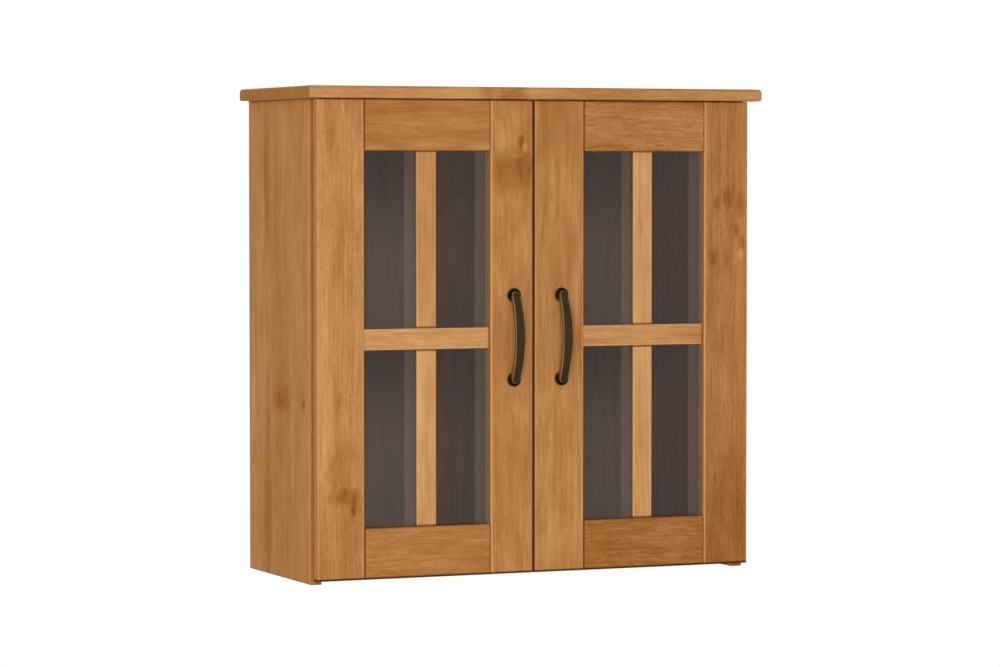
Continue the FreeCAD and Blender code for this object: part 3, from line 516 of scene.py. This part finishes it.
def grey_glass(side):
    """Clear glass; painted light thins out upwards in each light; painted reflection bands by bar and stile.
    """
    material, tree = new_material(f"grey_glass_{side}")
    spread = add(tree, "SeparateXYZ", {0: board_place(tree, UPRIGHT_FRONT)})
    across = spread.outputs[ACROSS]
    bar_edge = span_mm(f"{side}_upright_bar", "X")[0]
    stile_edge = span_mm(f"{side}_glazing_beads", "X")[1] - REBATE_MM
    head = span_mm(f"{side}_glazing_beads", "Z")[1] - REBATE_MM
    light = head - sum(span_mm(f"{side}_level_bar", "Z")) / 2
    # painted light, growing towards the bottom of each light and stronger on the left-hand lights
    down = add(tree, "Math", {0: spread.outputs[ALONG], 1: -1 / light, 2: head / light},
               operation="MULTIPLY_ADD")
    lit_lower = add(tree, "MapRange", {"Value": add(tree, "Math", {0: down}, operation="FRACT"),
                                     "From Min": LOWER_LIGHT_RISE[0], "From Max": LOWER_LIGHT_RISE[1]},
                  interpolation_type="SMOOTHSTEP")
    on_left = add(tree, "Math", {0: across, 1: bar_edge + REBATE_MM}, operation="LESS_THAN")
    most = add(tree, "Math", {0: on_left, 1: LEFT_PAINTED_LIGHT_SHARE, 2: LOW_PAINTED_LIGHT_SHARE[side]},
               operation="MULTIPLY_ADD")
    painted_light = add(tree, "Math", {0: most, 1: lit_lower}, operation="MULTIPLY")
    # painted reflections: bands left of the bar and the stile, and a narrow line against the stile
    for edge, width, share in ((bar_edge, REFLECTION_BESIDE_BAR_MM, EDGE_REFLECTION_SHARE),
                               (stile_edge, REFLECTION_BESIDE_STILE_MM, EDGE_REFLECTION_SHARE),
                               (stile_edge, REVEAL_REFLECTION_MM, REVEAL_REFLECTION_SHARE)):
        start = add(tree, "MapRange", {"Value": across, "From Min": edge - width - REFLECTION_FADE_MM,
                                       "From Max": edge - width, "To Max": share})
        before = add(tree, "Math", {0: across, 1: edge + REBATE_MM}, operation="LESS_THAN")
        painted_light = add(tree, "Math", {0: start, 1: before, 2: painted_light}, operation="MULTIPLY_ADD")
    strokes = grain(tree, board_place(tree, UPRIGHT_FRONT), WIPE_MM, 1.0)
    wiped = add(tree, "MapRange", {"Value": strokes, "To Min": WIPED[0], "To Max": WIPED[1]})
    clear = add(tree, "BsdfPrincipled", {"Base Color": linear(GLASS_TINT), "Transmission Weight": 1.0,
                                         "Roughness": wiped, "IOR": GLASS_IOR})
    veil_shader = add(tree, "BsdfPrincipled", {"Base Color": linear(PAINTED_LIGHT_VEIL), "Roughness": VEIL_ROUGHNESS})
    veiled = add(tree, "MixShader", {0: painted_light, 1: clear, 2: veil_shader})
    open_way = add(tree, "BsdfTransparent", {"Color": linear(GLASS_IN_SHADOW)})
    lit = add(tree, "MixShader", {0: add(tree, "LightPath").outputs["Is Shadow Ray"], 1: veiled, 2: open_way})
    add(tree, "OutputMaterial", {"Surface": lit})
    return material


# Antique bronze: cast metal, chemically browned and then rubbed. Faces stay dark brown, edges show brass,
# painted lighter for a highlight as well.

BOW_FOOT_MM = 5.6                # half width of the bow at its feet
BRONZE_BROWN = ((0.35, "3C2F1D"), (0.65, "473927"))
# brass on the rubbed edges, also painted lighter to carry the edge highlight
BRASS_WEAR_AND_HIGHLIGHT, WEAR_AND_HIGHLIGHT_SHARE = "B29C76", 0.8
WEAR_AND_HIGHLIGHT_MM = (-0.7, 0.1)          # wear and painted highlight grow between these distances from the bow's edge
MOTTLE_MM, MOTTLED_EDGE_MM = 3.0, 0.6          # size of the mottles, and how far they move the lighter edge
BRONZE_GLOSS = (0.40, 0.56)
BRONZE_RELIEF, BRONZE_RELIEF_MM = 0.2, 0.04


def antique_bronze(side):
    """Browned bow, rubbed and painted lighter at the edges by the distance from the bow's middle line."""
    material, tree = new_material(f"antique_bronze_{side}")
    name = f"{side}_handle"
    x, z = span_mm(name, "X"), span_mm(name, "Z")
    waist = (x[1] - x[0]) / 2
    foot = (z[1] - z[0]) / 2 - BOW_FOOT_MM
    place = board_place(tree, UPRIGHT_FRONT)
    centred = add(tree, "VectorMath", {0: place, 1: (sum(x) / 2, 0, sum(z) / 2)}, operation="SUBTRACT")
    spread = add(tree, "SeparateXYZ", {0: add(tree, "VectorMath", {0: centred}, operation="ABSOLUTE")})
    across, along = spread.outputs[ACROSS], spread.outputs[ALONG]
    past_foot = add(tree, "MapRange", {"Value": along, "From Min": foot, "From Max": foot + waist,
                                       "To Max": waist})
    from_line = add(tree, "VectorMath", {0: add(tree, "CombineXYZ", {0: across, 1: past_foot})},
                    operation="LENGTH").outputs["Value"]
    half_width = add(tree, "MapRange", {"Value": along, "From Max": foot, "To Min": waist,
                                        "To Max": BOW_FOOT_MM})
    edge = add(tree, "Math", {0: from_line, 1: half_width}, operation="SUBTRACT")
    mottle = add(tree, "TexNoise", {"Vector": place, "Scale": 1 / MOTTLE_MM, "Detail": 4.0})
    mottled_edge = add(tree, "Math", {0: mottle, 1: MOTTLED_EDGE_MM, 2: edge}, operation="MULTIPLY_ADD")
    wear_and_highlight = add(tree, "MapRange", {"Value": mottled_edge, "From Min": WEAR_AND_HIGHLIGHT_MM[0], "From Max": WEAR_AND_HIGHLIGHT_MM[1],
                                    "To Max": WEAR_AND_HIGHLIGHT_SHARE}, interpolation_type="SMOOTHSTEP")
    brown = add(tree, "ValToRGB", {0: mottle}, stops=BRONZE_BROWN)
    colour = add(tree, "Mix", {0: wear_and_highlight, 6: brown, 7: linear(BRASS_WEAR_AND_HIGHLIGHT)}, data_type="RGBA")
    gloss = add(tree, "MapRange", {"Value": mottle, "To Min": BRONZE_GLOSS[0], "To Max": BRONZE_GLOSS[1]})
    relief = add(tree, "Bump", {"Height": mottle, "Strength": BRONZE_RELIEF,
                                "Distance": BRONZE_RELIEF_MM * MM})
    shader = add(tree, "BsdfPrincipled", {"Base Color": colour.outputs[2], "Metallic": 1.0,
                                          "Roughness": gloss, "Normal": relief})
    add(tree, "OutputMaterial", {"Surface": shader})
    return material


# Black bronze: the same casting left nearly black, with a faint brown rim where it was polished,
# painted lighter for a highlight as well.

BLACKENED = ((0.35, "14100C"), (0.65, "241C15"))
POLISHED_AND_LIT_RIM, RIM_MM = "5A4C38", (1.2, 0.3)    # starts and is full at these distances from the edge
BLACK_MOTTLE_MM = 2.0
BLACK_GLOSS = (0.36, 0.56)


def black_bronze(side):
    """Mottled black that turns brown towards the rim, by the distance from each rosette's middle."""
    material, tree = new_material(f"black_bronze_{side}")
    name = f"{side}_handle_rosettes"
    x, z = span_mm(name, "X"), span_mm(name, "Z")
    plate_r = (x[1] - x[0]) / 2
    plate_z = (z[1] - z[0]) / 2 - plate_r
    place = board_place(tree, UPRIGHT_FRONT)
    centred = add(tree, "VectorMath", {0: place, 1: (sum(x) / 2, 0, sum(z) / 2)}, operation="SUBTRACT")
    spread = add(tree, "SeparateXYZ", {0: add(tree, "VectorMath", {0: centred}, operation="ABSOLUTE")})
    up = add(tree, "Math", {0: spread.outputs[ALONG], 1: plate_z}, operation="SUBTRACT")
    from_centre = add(tree, "VectorMath", {0: add(tree, "CombineXYZ", {0: spread.outputs[ACROSS], 1: up})},
                      operation="LENGTH").outputs["Value"]
    # the rim: polished, and painted lighter for its highlight
    rim = add(tree, "MapRange", {"Value": from_centre, "From Min": plate_r - RIM_MM[0],
                                 "From Max": plate_r - RIM_MM[1]})
    mottle = add(tree, "TexNoise", {"Vector": place, "Scale": 1 / BLACK_MOTTLE_MM, "Detail": 3.0})
    black = add(tree, "ValToRGB", {0: mottle}, stops=BLACKENED)
    colour = add(tree, "Mix", {0: rim, 6: black, 7: linear(POLISHED_AND_LIT_RIM)}, data_type="RGBA")
    gloss = add(tree, "MapRange", {"Value": mottle, "To Min": BLACK_GLOSS[0], "To Max": BLACK_GLOSS[1]})
    shader = add(tree, "BsdfPrincipled", {"Base Color": colour.outputs[2], "Metallic": 1.0,
                                          "Roughness": gloss})
    add(tree, "OutputMaterial", {"Surface": shader})
    return material


# Nickel-plated steel: stamped and barrel-plated, bright with faint drawing lines.

NICKEL_TONES = ((0.35, "B4B2AC"), (0.65, "CFCDC7"))
NICKEL_GLOSS = (0.20, 0.36)
DRAWN_MM = (0.8, 26.0)           # width and length of the drawing lines


def nickel_plated_steel():
    """Tone and gloss follow long thin streaks of noise."""
    material, tree = new_material("nickel_plated_steel")
    lines = grain(tree, board_place(tree, UPRIGHT_SIDE), DRAWN_MM, 2.0)
    colour = add(tree, "ValToRGB", {0: lines}, stops=NICKEL_TONES)
    gloss = add(tree, "MapRange", {"Value": lines, "To Min": NICKEL_GLOSS[0], "To Max": NICKEL_GLOSS[1]})
    shader = add(tree, "BsdfPrincipled", {"Base Color": colour, "Metallic": 1.0, "Roughness": gloss})
    add(tree, "OutputMaterial", {"Surface": shader})
    return material


# Zinc-plated steel: screws, nails and pins, duller and bluer, with spangled patches.

ZINC_TONES = ((0.35, "989C9C"), (0.65, "BEC2C0"))
ZINC_GLOSS = (0.28, 0.46)
SPANGLE_MM = 1.6


def zinc_plated_steel():
    """Tone and gloss follow small patches of noise."""
    material, tree = new_material("zinc_plated_steel")
    place = board_place(tree, UPRIGHT_FRONT)
    patches = add(tree, "TexNoise", {"Vector": place, "Scale": 1 / SPANGLE_MM, "Detail": 3.0})
    colour = add(tree, "ValToRGB", {0: patches}, stops=ZINC_TONES)
    gloss = add(tree, "MapRange", {"Value": patches, "To Min": ZINC_GLOSS[0], "To Max": ZINC_GLOSS[1]})
    shader = add(tree, "BsdfPrincipled", {"Base Color": colour, "Metallic": 1.0, "Roughness": gloss})
    add(tree, "OutputMaterial", {"Surface": shader})
    return material


# Clear silicone: moulded soft dots, milky and slightly glossy.

SILICONE_TONES = ((0.35, "D8DAD6"), (0.65, "ECEEEA"))
SILICONE_GLOSS = (0.30, 0.45)
SILICONE_IOR, SILICONE_CLEARNESS = 1.41, 0.5
MILKY_MM = 2.5                   # size of its milky clouds


def clear_silicone():
    """Half clear, with tone and gloss from soft clouds of noise."""
    material, tree = new_material("clear_silicone")
    place = board_place(tree, UPRIGHT_FRONT)
    cloudy = add(tree, "TexNoise", {"Vector": place, "Scale": 1 / MILKY_MM, "Detail": 2.0})
    colour = add(tree, "ValToRGB", {0: cloudy}, stops=SILICONE_TONES)
    gloss = add(tree, "MapRange", {"Value": cloudy, "To Min": SILICONE_GLOSS[0], "To Max": SILICONE_GLOSS[1]})
    shader = add(tree, "BsdfPrincipled", {"Base Color": colour, "Roughness": gloss, "IOR": SILICONE_IOR,
                                          "Transmission Weight": SILICONE_CLEARNESS})
    add(tree, "OutputMaterial", {"Surface": shader})
    return material


# Screws: pressed heads with a cross recess, turned in by hand, so each cross stands at another angle.

HINGE_Z_MM = (-504.0, -60.0)     # middles of the hinges
HANDLE_Z_MM = (-338.0, -226.0)   # feet of the handles
# Middle of each head: out to the side, depth, and up and down from the hinge
PLATE_SCREW_MM = (299.0, -199.0, 16.0)
CLAMP_SCREW_MM = (288.4, -184.0)
CUP_SCREW_MM = (284.5, -237.3, 24.0)
HANDLE_SCREW_MM = (34.75, -236.3)
# Wood screws are flat and countersunk; the tip has the length of the head
WOOD_HEAD_R, WOOD_HEAD_MM, WOOD_SHANK_R = 3.4, 2.0, 1.75
PLATE_SCREW_LENGTH, CUP_SCREW_LENGTH = 13.0, 11.0
# Pan-head screws: the head's radius, the depth of its dome and its height, and the shank's radius and end
CLAMP_HEAD, CLAMP_SHANK = (4.5, 0.4, 2.0), (2.5, 10.6)
HANDLE_HEAD, HANDLE_SHANK = (4.2, 0.5, 2.2), (2.0, 26.7)
FACE_RINGS, TURN_SIDES = 16, 72  # grid of a screw's face
SHARP_DEG = 35.0                 # edges from this angle on stay crisp
CROSS_HALF_MM = 0.50             # half width of the recess's arms
CROSS_REACH = 0.62               # of the head's radius
CROSS_DEPTH_MM = 1.5
CROSS_RISE = 0.5                 # part of that depth lost at the arm's end
CROSS_SLOPE_MM = 0.30
TURN_STEP = 0.67                 # radians from one screw's cross to the next one's


def cross_screws(node, body, heads, into, head_r, dome, stem, zinc):
    """Screws with a cross recess in place of a node's plain ones.

    Each is a profile turned about its axis. The face runs from the middle to the rim, and its depth is the
    dome's depth times the square of the radius over the head's radius. The recess adds to it where the lesser
    of |x| and |y| is under the arm's half width and the greater under its reach, and it is shallower further
    out. The stem's rings follow. Radius 0 at both ends is a single point.
    """
    face = np.linspace(0, head_r, FACE_RINGS + 1)
    rings = np.vstack([np.column_stack([face, dome * (face / head_r) ** 2]), stem])
    turn = np.linspace(0, 2 * np.pi, TURN_SIDES, endpoint=False)
    x, y = rings[:, :1] * np.cos(turn), rings[:, :1] * np.sin(turn)
    near, far = np.minimum(abs(x), abs(y)), np.maximum(abs(x), abs(y))
    reach = CROSS_REACH * head_r
    open_across = np.clip((CROSS_HALF_MM - near) / CROSS_SLOPE_MM + 0.5, 0, 1)
    open_along = np.clip((reach - far) / CROSS_SLOPE_MM, 0, 1)
    on_face = np.arange(len(rings))[:, None] <= FACE_RINGS
    recess = CROSS_DEPTH_MM * open_across * open_along * (1 - CROSS_RISE * far / reach) * on_face
    local = np.stack([x, y, rings[:, 1:] + recess], axis=-1)
    local = np.vstack([local[0, :1], local[1:-1].reshape(-1, 3), local[-1, :1]])

    ring = np.arange(1, len(local) - 1).reshape(-1, TURN_SIDES)
    after = np.roll(ring, -1, axis=1)
    sides = np.stack([ring[:-1], ring[1:], after[1:], after[:-1]], axis=-1).reshape(-1, 4)
    middle = np.column_stack([np.zeros_like(ring[0]), ring[0], after[0]])
    tip = np.column_stack([ring[-1], np.full_like(ring[-1], len(local) - 1), after[-1]])

    heads, into = np.array(heads), np.array(into)
    spin = TURN_STEP * np.arange(len(heads))[:, None]
    up = np.array([[0.0, 0.0, 1.0]])
    level = np.cross(-into, up)
    axes = np.stack([np.cos(spin) * up + np.sin(spin) * level,
                     np.cos(spin) * level - np.sin(spin) * up, into], axis=1)
    points = (heads[:, None, :] + local @ axes).reshape(-1, 3) * MM
    firsts = len(local) * np.arange(len(heads))[:, None, None]
    faces = sum(((part + firsts).reshape(-1, part.shape[1]).tolist() for part in (middle, sides, tip)), [])
    mesh = bpy.data.meshes.new(node + "_cross_recessed")
    mesh.from_pydata(points.tolist(), [], faces)
    mesh.shade_smooth()
    mesh.set_sharp_from_angle(angle=math.radians(SHARP_DEG))
    mesh.materials.append(zinc)
    piece = bpy.data.objects.new(node + "_cross_recessed", mesh)
    SCENE.collection.objects.link(piece)
    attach(piece, body)
    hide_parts(node)


def wood_stem(length):
    """Rings of a countersunk screw below its face: radius and depth."""
    return ((WOOD_SHANK_R, WOOD_HEAD_MM), (WOOD_SHANK_R, length - WOOD_HEAD_MM), (0.0, length))


def pan_stem(head, shank):
    """Rings of a pan-head screw below its face: radius and depth."""
    head_r, _, height = head
    radius, length = shank
    return ((head_r, height), (radius, height), (radius, length), (0.0, length))


def put_in_screws(zinc):
    """Screws of hinge plates, arms, cups and handles."""
    outwards = {"left": -1.0, "right": 1.0}
    out_mm, y, up = PLATE_SCREW_MM
    plates = [(out * out_mm, y, z + rise) for out in outwards.values()
              for z in HINGE_Z_MM for rise in (-up, up)]
    cross_screws("hinge_plate_screws", "cabinet", plates, [(math.copysign(1, x), 0, 0) for x, _, _ in plates],
                 WOOD_HEAD_R, 0.0, wood_stem(PLATE_SCREW_LENGTH), zinc)
    out_mm, y = CLAMP_SCREW_MM
    clamps = [(out * out_mm, y, z) for out in outwards.values() for z in HINGE_Z_MM]
    cross_screws("hinge_clamp_screws", "cabinet", clamps, [(math.copysign(1, x), 0, 0) for x, _, _ in clamps],
                 *CLAMP_HEAD[:2], pan_stem(CLAMP_HEAD, CLAMP_SHANK), zinc)
    for side, out in outwards.items():
        out_mm, y, up = CUP_SCREW_MM
        cups = [(out * out_mm, y, z + rise) for z in HINGE_Z_MM for rise in (-up, up)]
        cross_screws(f"{side}_cup_screws", f"{side}_door", cups, [(0, -1, 0)] * len(cups),
                     WOOD_HEAD_R, 0.0, wood_stem(CUP_SCREW_LENGTH), zinc)
        out_mm, y = HANDLE_SCREW_MM
        feet = [(out * out_mm, y, z) for z in HANDLE_Z_MM]
        cross_screws(f"{side}_handle_screws", f"{side}_door", feet, [(0, -1, 0)] * len(feet),
                     *HANDLE_HEAD[:2], pan_stem(HANDLE_HEAD, HANDLE_SHANK), zinc)


def dress_fittings():
    """Glass, handles, hinges and fasteners."""
    nickel, zinc, silicone = nickel_plated_steel(), zinc_plated_steel(), clear_silicone()
    put_in_screws(zinc)
    for side in ("left", "right"):
        dress(f"{side}_glass", grey_glass(side))
        dress(f"{side}_handle", antique_bronze(side))
        dress(f"{side}_handle_rosettes", black_bronze(side))
        dress(f"{side}_bumper", silicone)
        for level in ("lower", "upper"):
            for piece in ("cup", "pin", "arm", "plate"):
                dress(f"{side}_{level}_hinge_{piece}", nickel)
    for name in ("shelf_pins", "back_panel_nails"):
        dress(name, zinc)
    dress("back_panel", stained_plywood())
    dress("carcass_dowels", raw_beech())


# Stage: white surroundings, pale floor, lamps and camera.

def in_sight(tree):
    """1 for rays from the camera, off metal and through glass, which all show the white surroundings."""
    ray = add(tree, "LightPath").outputs
    mirrored = add(tree, "Math", {0: ray["Is Glossy Ray"], 1: ray["Is Transmission Ray"]},
                   operation="MAXIMUM")
    return add(tree, "Math", {0: ray["Is Camera Ray"], 1: mirrored}, operation="MAXIMUM")


def lay_floor():
    """Square pale floor; in sight it turns to plain white away from the cabinet's shadow."""
    corners = np.array([[-1, -1], [1, -1], [1, 1], [-1, 1]]) * FLOOR_REACH
    heights = np.full(len(corners), CAD_BOX[0].z - HANGING_HEIGHT)
    mesh = bpy.data.meshes.new("floor")
    mesh.from_pydata(np.column_stack([corners, heights]).tolist(), [], [(0, 1, 2, 3)])
    floor = bpy.data.objects.new("floor", mesh)
    SCENE.collection.objects.link(floor)
    material, tree = new_material("pale_floor")
    paint = add(tree, "BsdfDiffuse", {"Color": linear(FLOOR_PAINT)})
    glow = add(tree, "Emission", {"Color": linear(WHITE), "Strength": FLOOR_GLOW})
    white = add(tree, "Emission", {"Color": linear(WHITE), "Strength": 1.0})
    near = add(tree, "AddShader", {0: paint, 1: glow})
    level = add(tree, "VectorMath", {0: add(tree, "TexCoord").outputs["Object"], 1: (1, 1, 0)},
                operation="MULTIPLY")
    away = add(tree, "VectorMath", {0: level}, operation="LENGTH").outputs["Value"]
    fade = add(tree, "MapRange", {"Value": away, "From Min": FLOOR_FADE[0], "From Max": FLOOR_FADE[1]},
               interpolation_type="SMOOTHSTEP")
    seen = add(tree, "MixShader", {0: fade, 1: near, 2: white})
    shown = add(tree, "MixShader", {0: in_sight(tree), 1: paint, 2: seen})
    add(tree, "OutputMaterial", {"Surface": shown})
    mesh.materials.append(material)


def light_room():
    """Even white surroundings, a large soft lamp in front and to the left, and one behind."""
    world = bpy.data.worlds.new("studio")
    SCENE.world = world
    world.use_nodes = True
    tree = world.node_tree
    tree.nodes.clear()
    fill = add(tree, "Background", {"Color": linear(WHITE), "Strength": FILL})
    white = add(tree, "Background", {"Color": linear(WHITE), "Strength": 1.0})
    add(tree, "OutputWorld", {"Surface": add(tree, "MixShader", {0: in_sight(tree), 1: fill, 2: white})})
    centre = (Vector(CAD_BOX[0]) + Vector(CAD_BOX[1])) / 2
    for name, where, watts in (("key_lamp", KEY_PLACE, KEY_WATTS), ("back_lamp", BACK_PLACE, BACK_WATTS)):
        light = bpy.data.lights.new(name, "AREA")
        light.size = LAMP_SIZE
        light.energy = watts
        lamp = bpy.data.objects.new(name, light)
        lamp.location = where
        lamp.rotation_euler = (centre - Vector(where)).to_track_quat("-Z", "Y").to_euler()
        lamp.visible_glossy = False      # no mirror image of a lamp on either face of the glass
        lamp.visible_transmission = False
        SCENE.collection.objects.link(lamp)


def set_camera():
    """The photograph's viewpoint, with the frame aimed and not shifted."""
    lens = bpy.data.cameras.new("camera")
    lens.sensor_width = SENSOR_MM
    lens.lens = SENSOR_MM * FOCAL_PX / PHOTO_WIDTH_PX
    camera = bpy.data.objects.new("camera", lens)
    camera.location = CAMERA_PLACE
    camera.rotation_euler = (math.radians(90 - CAMERA_PITCH_DEG), 0, math.radians(-CAMERA_YAW_DEG))
    SCENE.collection.objects.link(camera)
    SCENE.camera = camera
    SCENE.view_settings.view_transform = "Standard"


dress_carcass()
dress_doors()
dress_fittings()
lay_floor()
light_room()
set_camera()
